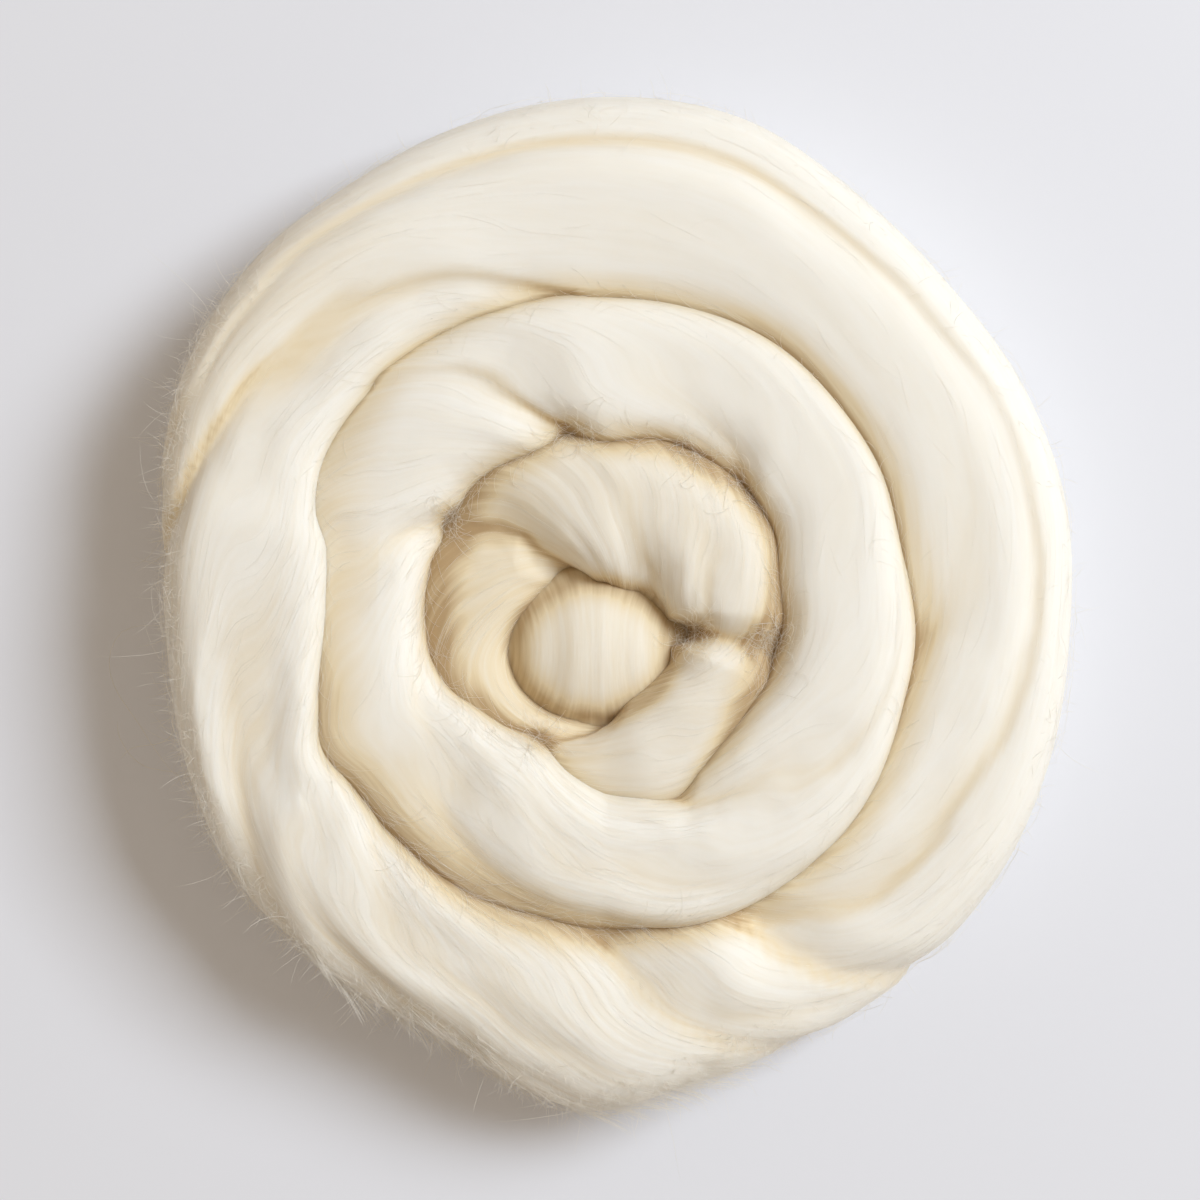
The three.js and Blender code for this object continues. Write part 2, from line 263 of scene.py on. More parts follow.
# %% The creases of the inner turn
INNER_CREASES = (
    # width, lip, sharpness and the places
    (6.5, 0, 0.5, (
        (352, 11, 8), (355.5, 17, 7.5), (355, 22, 5.4), (353, 29, 3.6), (351, 35.5, 2.8),
        (349, 44, 1.6),
    )),
    (10, 0.8, 0.5, (
        (119, 11, 4.5), (126, 15, 4.2), (131.5, 20, 4), (132, 26, 3.6), (138.5, 32, 3.4),
        (146, 37.5, 3.4), (152, 44, 2.6),
    )),
    (11, 0.4, 0.1, (
        (26, 11, 2), (46, 14.5, 2.2), (60, 16.5, 2), (70, 20, 1.7), (77, 23.5, 1.4), (86, 29, 0.9),
        (95, 34, 0.4),
    )),
    (6, 0, 0.6, ((2, 21, 1), (20, 23.5, 1), (37, 27, 0.8), (55, 32, 0.3))),
    (8, 1.5, 0.5, (
        (236, 36, 4), (239, 31, 4), (245, 27.5, 3.5), (252, 25, 3.5), (262, 22, 3.5), (272, 19, 4),
        (285, 14, 4),
    )),
)

# %% Count the creases
print("creases:", len(OUTER_CREASES), len(MIDDLE_CREASES), len(INNER_CREASES))

# %% [markdown]
# ## A strand as a formula
#
# Every point of a turn is named by two numbers: its bearing round the nest, and its side, the
# angle round the section, which is 0 at the outer edge and 90 degrees on top. Extruding rings of
# faces, or sculpting, would give a shape too, but the section changes all the way round, and a
# formula can be asked again, later, where a fibre lies on it.

# %% Smooth steps and closed curves
def smooth(t):
    """An S curve from 0 to 1."""
    t = np.clip(t, 0, 1)
    return t * t * (3 - 2 * t)


def power(value, exponent):
    """A power that keeps the sign."""
    return np.sign(value) * np.abs(value) ** exponent


def closed_curve(stations, column, bearing):
    """One column of a turn's stations at any bearing, on a smooth closed curve."""
    at = np.array([row[0] for row in stations], float)
    value = np.array([row[column] for row in stations], float)
    at = np.concatenate([at[-2:] - 360, at, at[:2] + 360])
    value = np.concatenate([value[-2:], value, value[:2]])
    slope = np.zeros(len(at))
    slope[1:-1] = (value[2:] - value[:-2]) / (at[2:] - at[:-2])
    wrapped = np.asarray(bearing, float) % 360
    i = np.clip(np.searchsorted(at, wrapped, side="right") - 1, 1, len(at) - 3)
    span = at[i + 1] - at[i]
    t = (wrapped - at[i]) / span
    rise = (value[i + 1] - value[i]) * smooth(t)
    return value[i] + rise + span * t * (1 - t) * ((1 - t) * slope[i] - t * slope[i + 1])


print("outer edge at bearing 10:", round(float(closed_curve(OUTER_STATIONS, 2, 10)), 1), "mm")

# %% Noise that closes both ways round
def lattice(around, along, cells_around, cells_along, seed):
    """Smooth noise from -1 to 1 on a grid that closes round the strand and round the nest.

    around and along run from 0 to 1 over the whole grid, and may run past it."""
    values = np.random.default_rng(seed).uniform(-1, 1, (cells_around, cells_along))
    u, v = np.asarray(around) * cells_around, np.asarray(along) * cells_along
    i, j = np.floor(u).astype(int), np.floor(v).astype(int)
    s, t = smooth(u - i), smooth(v - j)
    corner = lambda di, dj: values[(i + di) % cells_around, (j + dj) % cells_along]
    low = corner(0, 0) * (1 - s) + corner(1, 0) * s
    high = corner(0, 1) * (1 - s) + corner(1, 1) * s
    return low * (1 - t) + high * t

# %% A turn of the strand
class Turn:
    """One turn of the strand: its stations, its creases and how rough its locks are."""

    def __init__(self, name, stations, creases, roughness, seed):
        self.name, self.stations, self.roughness, self.seed = name, stations, roughness, seed
        self.creases = [(*shape, self.laid(rows)) for *shape, rows in creases]
        self.wind()

    def edges(self, bearing):
        """Middle radius, half width, crest and the radius of a circle as long as the section."""
        inner, outer, crest = (closed_curve(self.stations, n, bearing) for n in (1, 2, 3))
        half_width = (outer - inner) / 2
        return (inner + outer) / 2, half_width, crest, (half_width + crest / 2) / 2

    def laid(self, rows):
        """A crease's places as bearing, side and depth on the strand."""
        bearing, radius, depth = np.array(rows, float).T
        middle, half_width, _, round_radius = self.edges(bearing)
        past = radius - middle - half_width
        across = np.clip((radius - middle) / half_width, -1, 1)
        side = np.where(past > 0, -past / round_radius, np.arccos(power(across, FULLNESS / 2)))
        return np.stack([bearing, side, depth], axis=1)

    def wind(self):
        """How far the twist has turned the strand, by bearing: a whole turn over one lap."""
        bearing = np.arange(0, 361, 1.0)
        middle, _, _, round_radius = self.edges(bearing)
        twist = closed_curve(self.stations, 4, bearing)
        rate = np.tan(twist * DEGREE) * middle * DEGREE / round_radius
        turned = np.concatenate([[0], np.cumsum((rate[1:] + rate[:-1]) / 2)])
        self.laps = max(1, round(turned[-1] / (2 * math.pi)))
        turned += (self.laps * 2 * math.pi - turned[-1]) * bearing / 360
        self.turned = (bearing, turned)

    def twist_at(self, bearing):
        """The angle that the strand has turned through at a bearing."""
        whole = np.floor(np.asarray(bearing) / 360)
        part = np.interp(np.asarray(bearing) - whole * 360, *self.turned)
        return part + whole * self.laps * 2 * math.pi


TURNS = (
    Turn("outer", OUTER_STATIONS, OUTER_CREASES, 1.0, 11),
    Turn("middle", MIDDLE_STATIONS, MIDDLE_CREASES, 0.9, 22),
    Turn("inner", INNER_STATIONS, INNER_CREASES, 0.6, 33),
)
for turn in TURNS:
    print(turn.name, "turn: the twist turns the strand", turn.laps, "time(s) in one lap")

# %% How deep the creases cut, and how much shade is painted in them
CRACK = 2.2  # half width of the painted dark line in the bottom of a crease
CREASE_PAINTED_LINE = 0.4  # how dark that painted shade line is in a fold
CREASE_PAINTED_SHADE = 0.32  # how dark the broad painted shade about the line is
SHADE_REACH = 0.62  # half width of the painted shade, as a share of the crease's width
SHADE_LIP = 0.32  # how much of that share is lost on the lobe that laps over
SHADE_FALL = 1.5  # how quickly painted shade fades away from its line
DEEP = 4  # the depth in millimetres at which a crease has its whole painted shade
WAVERS = ((11, 29, 0.9), (37, 90, 0.4))  # how creases wander: cells round, along, millimetres


def dent_of(width, lip, sharp, line, bearing, side, middle, round_radius):
    """How deep one crease dents the strand, less its lip, and how much shade is painted about it.
    """
    nearest = np.full(bearing.shape, np.inf)
    dent = np.zeros(bearing.shape)
    tint = np.zeros(bearing.shape)
    scale = middle * DEGREE
    for (from_b, from_s, from_d), (to_b, to_s, to_d) in zip(line[:-1], line[1:]):
        along, down = (to_b - from_b) * scale, (from_s - to_s) * round_radius
        x, y = (bearing - from_b) * scale, (from_s - side) * round_radius
        share = np.clip((x * along + y * down) / (along**2 + down**2), 0, 1)
        away = np.hypot(x - share * along, y - share * down)
        ahead = np.sign(x * down - y * along) * away
        lifted = smooth(0.5 - ahead / LIP_BLEND)
        depth = from_d + (to_d - from_d) * share
        from_edge = np.clip(away / width, 0, 1)
        profile = sharp * (1 - from_edge) ** 2 + (1 - sharp) * (1 - from_edge**2) ** 2
        here = (depth - lip * lifted) * profile
        closer = away < nearest
        nearest = np.where(closer, away, nearest)
        dent = np.where(closer, here, dent)
        # painted shade: a broad shade about the crease's line, and a dark line in its bottom if
        # sharp
        reach = width * (SHADE_REACH - SHADE_LIP * lifted * min(lip, 1))
        shade = CREASE_PAINTED_SHADE * smooth(1 - away / reach) ** SHADE_FALL
        tinted = shade + CREASE_PAINTED_LINE * sharp * smooth(1 - away / CRACK)
        tint = np.where(closer, tinted * np.minimum(depth / DEEP, 1), tint)
    return dent, tint


def dents(turn, bearing, side, middle, round_radius):
    """The depth and the painted shade of all the creases of a turn, wherever they wrap round."""
    total, tints = np.zeros(bearing.shape), np.zeros(bearing.shape)
    for cells, along, waver in WAVERS:
        noise = lattice(side / (2 * math.pi), bearing / 360, cells, along, turn.seed + cells)
        side = side + waver * noise / round_radius
    for width, lip, sharp, line in turn.creases:
        margin = width / (middle.min() * DEGREE)
        for lap in (0, 360):
            past = bearing + lap
            near = (past > line[:, 0].min() - margin) & (past < line[:, 0].max() + margin)
            if not near.any():
                continue
            sizes = middle[near], round_radius[near]
            for under in (0, 2 * math.pi):
                dent, tint = dent_of(
                    width, lip, sharp, line, past[near], side[near] - under, *sizes
                )
                total[near] += dent
                tints[near] = np.maximum(tints[near], tint)
    return total, tints

# %% [markdown]
# ## Locks of fibre
#
# Between the creases, combed wool isn't smooth: its fibres cling together in locks a few
# millimetres wide, which follow the twist. So the relief isn't a function of the side, but of the
# side plus the angle that the twist has turned through. Lines on which that sum stays the same
# are the paths that the fibres take.

# %% The relief of the locks
LOCKS = (
    # cells round the strand, cells along a lap, height in millimetres
    (9, 7, 0.45),
    (23, 9, 0.2),
    (53, 13, 0.08),
    (89, 21, 0.04),
)


def locks(turn, bearing, side):
    """Height of the locks over the smooth strand, in millimetres."""
    fibre = (side + turn.twist_at(bearing)) / (2 * math.pi)
    lap = bearing / 360
    relief = np.zeros(bearing.shape)
    for number, (around, along, height) in enumerate(LOCKS):
        relief += height * lattice(fibre, lap, around, along, turn.seed + number)
    return relief * turn.roughness

# %% The surface of a turn
def surface(turn, bearing, side, lift=0.0):
    """Points of a turn in millimetres, and how much shade its creases paint on each."""
    middle, half_width, crest, round_radius = turn.edges(bearing)
    half_height = (crest + SAG) / 2
    out, up = np.cos(side), np.sin(side)
    dent, tint = dents(turn, bearing, side, middle, round_radius)
    dent *= smooth(1 + up / FADE_BELOW)
    coarser = 1 + ROUGH_FLANK * smooth((FLANK_TOP - up) / FLANK_FADE)
    swell = locks(turn, bearing, side) * coarser - dent + lift
    over = closed_curve(turn.stations, 5, bearing)
    rides = np.clip(np.where(out > 0, over, -over), 0, 1)
    held = np.clip(np.where(out > 0, -over, over), 0, 1)
    rim = (out > 0) * (turn.name == "outer")
    full = FULLNESS + FULL_OVER * rides + FULL_HELD * held + FULL_RIM * rim
    radius = middle + power(out, 2 / full) * half_width + out * np.maximum(swell, -DRAW_IN)
    height = crest - half_height + power(up, 2 / full) * half_height + up * swell
    place = np.stack(
        [
            EYE[0] + radius * np.cos(bearing * DEGREE),
            EYE[1] + radius * np.sin(bearing * DEGREE),
            np.maximum(0, height),
        ],
        axis=-1,
    )
    return place, tint


crest_place = surface(TURNS[0], np.array([0.0]), np.array([math.pi / 2]))[0][0]
print("the outer turn's crest at bearing 0:", np.round(crest_place, 1), "mm")

# %% [markdown]
# ## The turns
#
# A torus primitive already has the right build: rows of faces round the nest and round the
# section. Each of its vertices says where it belongs through its own angles, and is then moved
# to that place on the strand. The mesh keeps four things for the wool material: `grain` and `run`
# say where a vertex lies among the fibres, so that the grain follows the twist, a third says how
# much shade is painted on the place, and `frizz` how rough the wool is there.

# %% How frizzy the wool of each turn is: bearing and frizz
FRIZZ = {
    "outer": (
        (0, 0.1), (90, 0.12), (130, 0.3), (170, 0.45), (205, 0.6), (235, 1), (265, 1), (290, 0.5),
        (330, 0.2),
    ),
    "middle": (
        (0, 0.08), (90, 0.12), (150, 0.3), (200, 0.3), (240, 0.7), (275, 0.7), (310, 0.25),
    ),
    "inner": (
        (0, 0.4), (90, 0.4), (180, 0.4), (270, 0.4),
    ),
}

# %% [markdown]
# ## Where shade is painted on the wool
#
# Light that falls into the gap between two turns hardly comes out again, and what does is tan.
# A closed skin lets too little light in to do this alone, so the mesh says where shade is painted:
# a thin dark line along each seam, a broad soft shade on either side of it, shade in the creases
# and in a few spots where ends of turns meet, some over the inner turn and part of the outer rim.
# First the seams have to be found: a seam is where the inner turn stops being the higher one.

# %% Where two turns meet, as seen from above
def seam_of(inside, outside):
    """The radius of the seam between two turns at each degree of bearing, in millimetres."""
    reach = np.arange(5, 120, 0.1)  # the radii at which their heights are compared
    bearing, side = np.meshgrid(np.arange(0, 360.0), np.linspace(0, math.pi, 181), indexing="ij")
    tops = []
    for turn in (inside, outside):
        place = surface(turn, bearing.ravel(), side.ravel())[0].reshape(*bearing.shape, 3)
        out = np.hypot(place[..., 0] - EYE[0], place[..., 1] - EYE[1])[:, ::-1]
        rows = zip(out, place[:, ::-1, 2])
        tops.append([np.interp(reach, *row, left=-1, right=-1) for row in rows])
    above = np.array(tops[0]) > np.array(tops[1])
    last = len(reach) - 1 - np.argmax(above[:, ::-1], axis=1)
    radius = reach[last]
    return sum(np.roll(radius, shift) for shift in (-2, -1, 0, 1, 2)) / 5  # smoothed


SEAMS = {"outer": seam_of(TURNS[1], TURNS[0]), "inner": seam_of(TURNS[2], TURNS[1])}


def seam_at(name, bearing):
    """The radius of a seam at any bearing."""
    closed = np.append(SEAMS[name], SEAMS[name][0])
    return np.interp(np.asarray(bearing) % 360, np.arange(0, 361), closed)


for name, radius in SEAMS.items():
    print(name, "seam: radius", round(float(radius.min()), 1), "to", round(float(radius.max()), 1))

# %% How much shade is painted along each seam
SEAM_PAINTED_SHADES = {
    # bearing, strength of the painted line, then depth and width of the shade inside and outside
    # it
    "outer": (
        (0, 1, 0.12, 4, 0.62, 11), (30, 0.9, 0.15, 4, 0.66, 9.5), (60, 0.8, 0.2, 4.5, 0.72, 8.5),
        (75, 0.4, 0.2, 4.5, 0.6, 8), (90, 0.9, 0.2, 5, 0.6, 8), (105, 0.9, 0.25, 6, 0.5, 8),
        (120, 0.7, 0.3, 7, 0.4, 6), (135, 0.9, 0.42, 12, 0.3, 4), (150, 0.2, 0.46, 20, 0.15, 3),
        (165, 0.1, 0.42, 20, 0.1, 3), (180, 0.1, 0.42, 16, 0.1, 3), (195, 0.4, 0.7, 17, 0.3, 3),
        (210, 0.6, 0.85, 18, 0.5, 3.5), (225, 0.7, 0.85, 17, 0.6, 5),
        (240, 0.8, 0.75, 15, 0.75, 8), (255, 0.9, 0.65, 12, 0.85, 11), (270, 1, 0.55, 9, 0.95, 10),
        (285, 0.6, 0.3, 6, 0.7, 9), (300, 0.3, 0.15, 4, 0.6, 9), (315, 0.3, 0.12, 4, 0.6, 10),
        (330, 0.4, 0.12, 4, 0.55, 9), (345, 0.7, 0.12, 4, 0.6, 10),
    ),
    "inner": (
        (0, 1, 1, 12, 0.6, 9), (15, 0.6, 0.8, 7, 0.5, 7), (30, 0.6, 0.8, 7, 0.5, 6.5),
        (45, 0.9, 0.9, 8, 0.65, 6.5), (60, 1, 1, 9, 0.75, 6.5), (75, 0.8, 0.8, 8, 0.6, 6.5),
        (90, 0.7, 0.6, 7, 0.6, 8), (105, 0.6, 0.5, 8, 0.5, 8), (120, 0.7, 0.45, 8, 0.4, 7),
        (135, 0.8, 0.6, 10, 0.4, 6), (150, 1, 0.8, 12, 0.3, 5), (165, 1, 0.8, 13, 0.25, 4),
        (180, 1.1, 0.85, 13, 0.35, 4), (195, 0.9, 0.8, 11, 0.35, 4), (210, 0.6, 0.65, 8, 0.4, 4),
        (225, 0.6, 0.5, 6, 0.35, 4), (240, 0.4, 0.4, 5, 0.4, 4), (255, 0.1, 0.25, 5, 0.1, 4),
        (270, 0.1, 0.2, 4, 0.1, 4), (285, 0.1, 0.2, 4, 0.2, 4), (300, 0.5, 0.4, 5, 0.5, 6),
        (315, 0.6, 0.6, 6, 0.55, 8), (330, 0.8, 0.9, 10, 0.6, 6.5), (345, 1, 1, 12, 0.65, 7),
    ),
}
LINE_WIDTH = 1.3  # half width of the painted dark line
SEAM_PAINTED_LINE = 0.4  # how dark that painted line is where its strength is 1


def seam_painted_shade(name, bearing, radius, inside):
    """The shade that a seam paints on the turn inside it, or else on the turn outside it."""
    line, *tints = (closed_curve(SEAM_PAINTED_SHADES[name], column, bearing) for column in range(1, 6))
    depth, width = tints[:2] if inside else tints[2:]
    away = (seam_at(name, bearing) - radius) * (1 if inside else -1)
    shade = depth * smooth(1 - away / width) ** SHADE_FALL
    return shade + SEAM_PAINTED_LINE * line * smooth(1 - away / LINE_WIDTH)


print("tinted at", {name: len(rows) for name, rows in SEAM_PAINTED_SHADES.items()}, "bearings")

# %% What a mesh keeps for the wool
def keep_attributes(mesh, grain, run, painted_shade, rough):
    """Stores what the wool material reads on a mesh's vertices."""
    for name, kind, field, values in (
        ("grain", "FLOAT_VECTOR", "vector", grain),
        ("run", "FLOAT", "value", run),
        # the shade painted on each place, from 0 to 1
        ("painted_shade", "FLOAT", "value", painted_shade),
        ("frizz", "FLOAT", "value", rough),
    ):
        attribute = mesh.attributes.new(name, kind, "POINT")
        attribute.data.foreach_set(field, np.ascontiguousarray(values, dtype=np.float32).ravel())

# %% How much shade is painted on each place
CORE_MIDDLE = (-2.4, -5.3)  # the ball in the eye of the nest, from the eye
CORE_HALF = (17.0, 14.6)  # half its width and depth, where it shows
# painted shade in the hollows where the ends of turns meet: x, y, width and depth of the shade
PAINTED_SHADE_SPOTS = (
    (15.6, -6.6, 8, 0.8),
    (31, -7.6, 8, 0.6),
    (-37, 19, 5, 0.5),
    (-17, -30, 5, 0.45),
    (-9.7, 37.5, 5, 0.3),
)
BOTH_SIDES = 0.2  # the top of the strand, which belongs to its inner and its outer side
WEST = 195  # the bearing at which the inner turn gets the most painted shade
INNER_PAINTED_SHADE = (0.12, 0.3)  # the inner turn's least painted shade, and how much more it has in the west
BALL_PAINTED_SHADE, BALL_REACH = 0.65, 5  # the painted shade of the inner turn about the ball, and its width
RIM_PAINTED_SHADE, RIM_FROM, RIM_FADE = 0.15, 87, 10  # painted shade on the outer turn's rim, away from the light: depth, radius, fade
RIM_BEARING, RIM_HALF, RIM_ENDS = 152, 42, 25  # its middle, its half length and its ends' fade


def painted_shade_of(turn, bearing, side, place, tint):
    """How much shade is painted: 0 on the open crests and 1 deep in the seams and creases."""
    radius = np.hypot(place[:, 0] - EYE[0], place[:, 1] - EYE[1])
    # painted shade in the hollows where the ends of turns meet
    for x, y, width, depth in PAINTED_SHADE_SPOTS:
        away = np.hypot(place[:, 0] - x, place[:, 1] - y)
        tint = tint + depth * smooth(1 - away / width) ** SHADE_FALL
    outer_side, inner_side = np.cos(side) > -BOTH_SIDES, np.cos(side) < BOTH_SIDES
    # painted shade on the outer turn: on part of its rim and beside its seam, with its creases'
    if turn.name == "outer":
        # painted shade over the outer turn's upper left rim, which faces away from the light
        rim = smooth((RIM_HALF - np.abs(bearing - RIM_BEARING)) / RIM_ENDS)
        rim = RIM_PAINTED_SHADE * smooth((radius - RIM_FROM) / RIM_FADE) * rim
        return np.clip(rim + tint + seam_painted_shade("outer", bearing, radius, False) * inner_side, 0, 1)
    # painted shade on the middle turn, beside both of its seams
    if turn.name == "middle":
        seams = seam_painted_shade("outer", bearing, radius, True) * outer_side
        seams += seam_painted_shade("inner", bearing, radius, False) * inner_side
        return np.clip(tint + seams, 0, 1)
    # painted shade on the inner turn: some all over, more to the west, about the ball and by its
    # seam
    west = smooth((np.cos((bearing - WEST) * DEGREE) + 0.1) / 0.8)
    x, y = ((place[:, a] - EYE[a] - CORE_MIDDLE[a]) / CORE_HALF[a] for a in (0, 1))
    past_ball = (np.hypot(x, y) - 1) * CORE_HALF[0]
    ball_shade = BALL_PAINTED_SHADE * smooth(1 - past_ball / BALL_REACH) ** SHADE_FALL * inner_side
    seams = seam_painted_shade("inner", bearing, radius, True) * outer_side
    least, more = INNER_PAINTED_SHADE
    return np.clip(least + more * west + tint + seams + ball_shade, 0, 1)


def frizz(turn, bearing):
    """How rough the wool is, from 0 to 1: the strand is roughest towards its outer end."""
    return closed_curve(FRIZZ[turn.name], 1, bearing)

# %% A torus moved onto the strand
GRAIN_STRETCH = 13  # how much longer than wide the grain of the wool is


def make_turn(turn, steps_round, steps_across):
    """Adds one turn of the strand as a closed mesh."""
    bpy.ops.mesh.primitive_torus_add(
        major_segments=steps_round, minor_segments=steps_across, major_radius=2, minor_radius=1
    )
    piece = bpy.context.object
    piece.name = "roving_" + turn.name + "_turn"
    mesh = piece.data
    place = np.empty(len(mesh.vertices) * 3)
    mesh.vertices.foreach_get("co", place)
    x, y, z = place.reshape(-1, 3).T
    bearing = np.degrees(np.arctan2(y, x)) % 360
    even = np.arctan2(z, np.hypot(x, y) - 2)
    side = even + TOP_SHARE * np.cos(even)
    place, tint = surface(turn, bearing, side)
    mesh.vertices.foreach_set("co", (place * MM).ravel())
    mesh.update()

    middle, _, _, round_radius = turn.edges(bearing)
    fibre = side + turn.twist_at(bearing)
    reach = float(round_radius.mean())
    lap_radius = float(middle.mean()) / GRAIN_STRETCH
    lap = bearing * DEGREE
    grain = [reach * np.cos(fibre), reach * np.sin(fibre), lap_radius * np.cos(lap)]
    # the mesh keeps the grain, the run, the shade painted on it and the frizz
    keep_attributes(
        mesh,
        np.stack(grain, axis=1),
        lap_radius * np.sin(lap),
        painted_shade_of(turn, bearing, side, place, tint),
        frizz(turn, bearing),
    )
    bpy.ops.object.shade_smooth()
    print(piece.name, len(mesh.polygons) * 2, "triangles, height", round(place[:, 2].max(), 1))
    return piece


STEPS = ((640, 130), (560, 128), (400, 112))  # faces round the nest and round the section
turn_pieces = [make_turn(turn, *steps) for turn, steps in zip(TURNS, STEPS)]

# %% [markdown]
# ## The rolled-up end
#
# In the eye of the nest the strand's end is rolled up on itself. What shows is a soft ball whose
# fibres run one way across it, in a few folds with furrows between them. A sphere primitive is
# moved to its size by a formula, and furrows and fine locks are drawn along Y.

# %% The ball in the eye
CORE_CREST = 33.0
CORE_FULLNESS = 2.0
CORE_SPREAD = 1.42  # how much wider the ball is, out of sight, than where it shows
CORE_RING = (1.07, 0.14, 1.2)  # the furrow round it: where, half width, depth
CORE_FURROWS = ((-7.5, 5, 0.25), (6.0, 5, 0.5))  # x, half width, depth
CORE_LOCKS = ((9, 2, 0.2), (23, 3, 0.08), (53, 4, 0.04))  # as LOCKS, across and along the ball
CORE_BOW = 0.3  # how much the folds bow outwards at their middle
CORE_GRAIN = 40  # millimetres over which the grain's noise repeats
CORE_RUN = 50.0  # where in the noise the ball is read, well away from the turns
CORE_SEED = 44


def trough(value, at, half_width):
    """1 at one value, and 0 from half a width away."""
    return np.clip(1 - ((value - at) / half_width) ** 2, 0, 1) ** 2


def core_surface(out):
    """Points of the ball in millimetres, how near its rim each is, its dents and its grain."""
    half_height = (CORE_CREST + SAG) / 2
    level = np.hypot(out[:, 0], out[:, 1])
    widen = CORE_SPREAD * power(level, 2 / CORE_FULLNESS) / np.maximum(level, 1e-6)
    x, y, z = out[:, 0] * widen, out[:, 1] * widen, power(out[:, 2], 2 / CORE_FULLNESS)
    rim = np.hypot(x, y)
    across = x * CORE_HALF[0]
    bow = across * (1 - CORE_BOW * y * y)
    dent = sum(depth * trough(bow, at, wide) for at, wide, depth in CORE_FURROWS)
    dent = dent * smooth((1.05 - rim) / 0.3)
    at, wide, depth = CORE_RING
    ring = trough(rim, at, wide) * (z > 0)
    grain = bow / CORE_GRAIN
    relief = sum(
        height * lattice(grain, y / 2 + 0.5, cells, along, CORE_SEED + number)
        for number, (cells, along, height) in enumerate(CORE_LOCKS)
    )
    swell = relief - dent
    height = CORE_CREST - half_height + z * half_height
    place = np.stack(
        [
            EYE[0] + CORE_MIDDLE[0] + across + out[:, 0] * swell,
            EYE[1] + CORE_MIDDLE[1] + y * CORE_HALF[1] + out[:, 1] * swell,
            np.maximum(0, height + out[:, 2] * swell - depth * ring),
        ],
        axis=1,
    )
    return place, rim, dent, grain


bpy.ops.mesh.primitive_uv_sphere_add(segments=128, ring_count=72, radius=1)
core = bpy.context.object
core.name = "roving_core"
directions = np.array([vertex.co[:] for vertex in core.data.vertices])
core_place, core_rim, core_dent, core_grain = core_surface(directions)
core.data.vertices.foreach_set("co", (core_place * MM).ravel())
core.data.update()
keep_attributes(
    core.data,
    np.stack(
        [core_grain * CORE_GRAIN, core_place[:, 1] / GRAIN_STRETCH, core_place[:, 2] * 0], axis=1
    ),
    np.full(len(core_grain), CORE_RUN),
    # painted shade: some all over, more towards its rim and a little in its furrows
    np.clip(0.2 + 0.58 * smooth((core_rim - 0.5) / 0.5) ** 1.6 + 0.1 * core_dent, 0, 1),
    np.full(len(core_grain), 0.5),
)
bpy.ops.object.shade_smooth()
print(core.name, len(core.data.vertices), "vertices")

# %% [markdown]
# ## The wool
#
# Undyed combed wool is a warm white. Light enters it and scatters about between the fibres before
# it comes out again, so its shadows are soft and its hollows glow tan: that is subsurface
# scattering, helped by shade painted tan and deep brown where the mesh says the place is shaded.
# The fibres catch the light along their length, which a little sheen stands for. The grain is a
# four-dimensional noise read from the fibre coordinates, so it closes all the way round. The
# tones, the painted shade and the grain are a node group of their own, so that another wool
# could use them with values of its own.

# %% A node group for the tones and grain of wool
def link(tree, source, target):
    """Joins two sockets of a node tree."""
    tree.links.new(source, target)


WOOL_LIGHT = (0.895, 0.86, 0.785)
WOOL_SHADE = (0.875, 0.833, 0.745)
WOOL_WISP = (0.82, 0.74, 0.60)
WOOL_CREAM = (0.885, 0.828, 0.71)
# painted shade: tan where the mesh says a place is shaded, deep brown in the deepest seams
PAINTED_SHADE_TAN = (0.765, 0.62, 0.385)
PAINTED_SHADE_DEEP = (0.46, 0.31, 0.16)
GROUP_SOCKETS = (
    ("INPUT", (("Grain", "Vector"), ("Run", "Float"), ("Painted_shade", "Float"), ("Frizz", "Float"))),
    ("OUTPUT", (("Color", "Color"), ("Roughness", "Float"), ("Height", "Float"))),
)


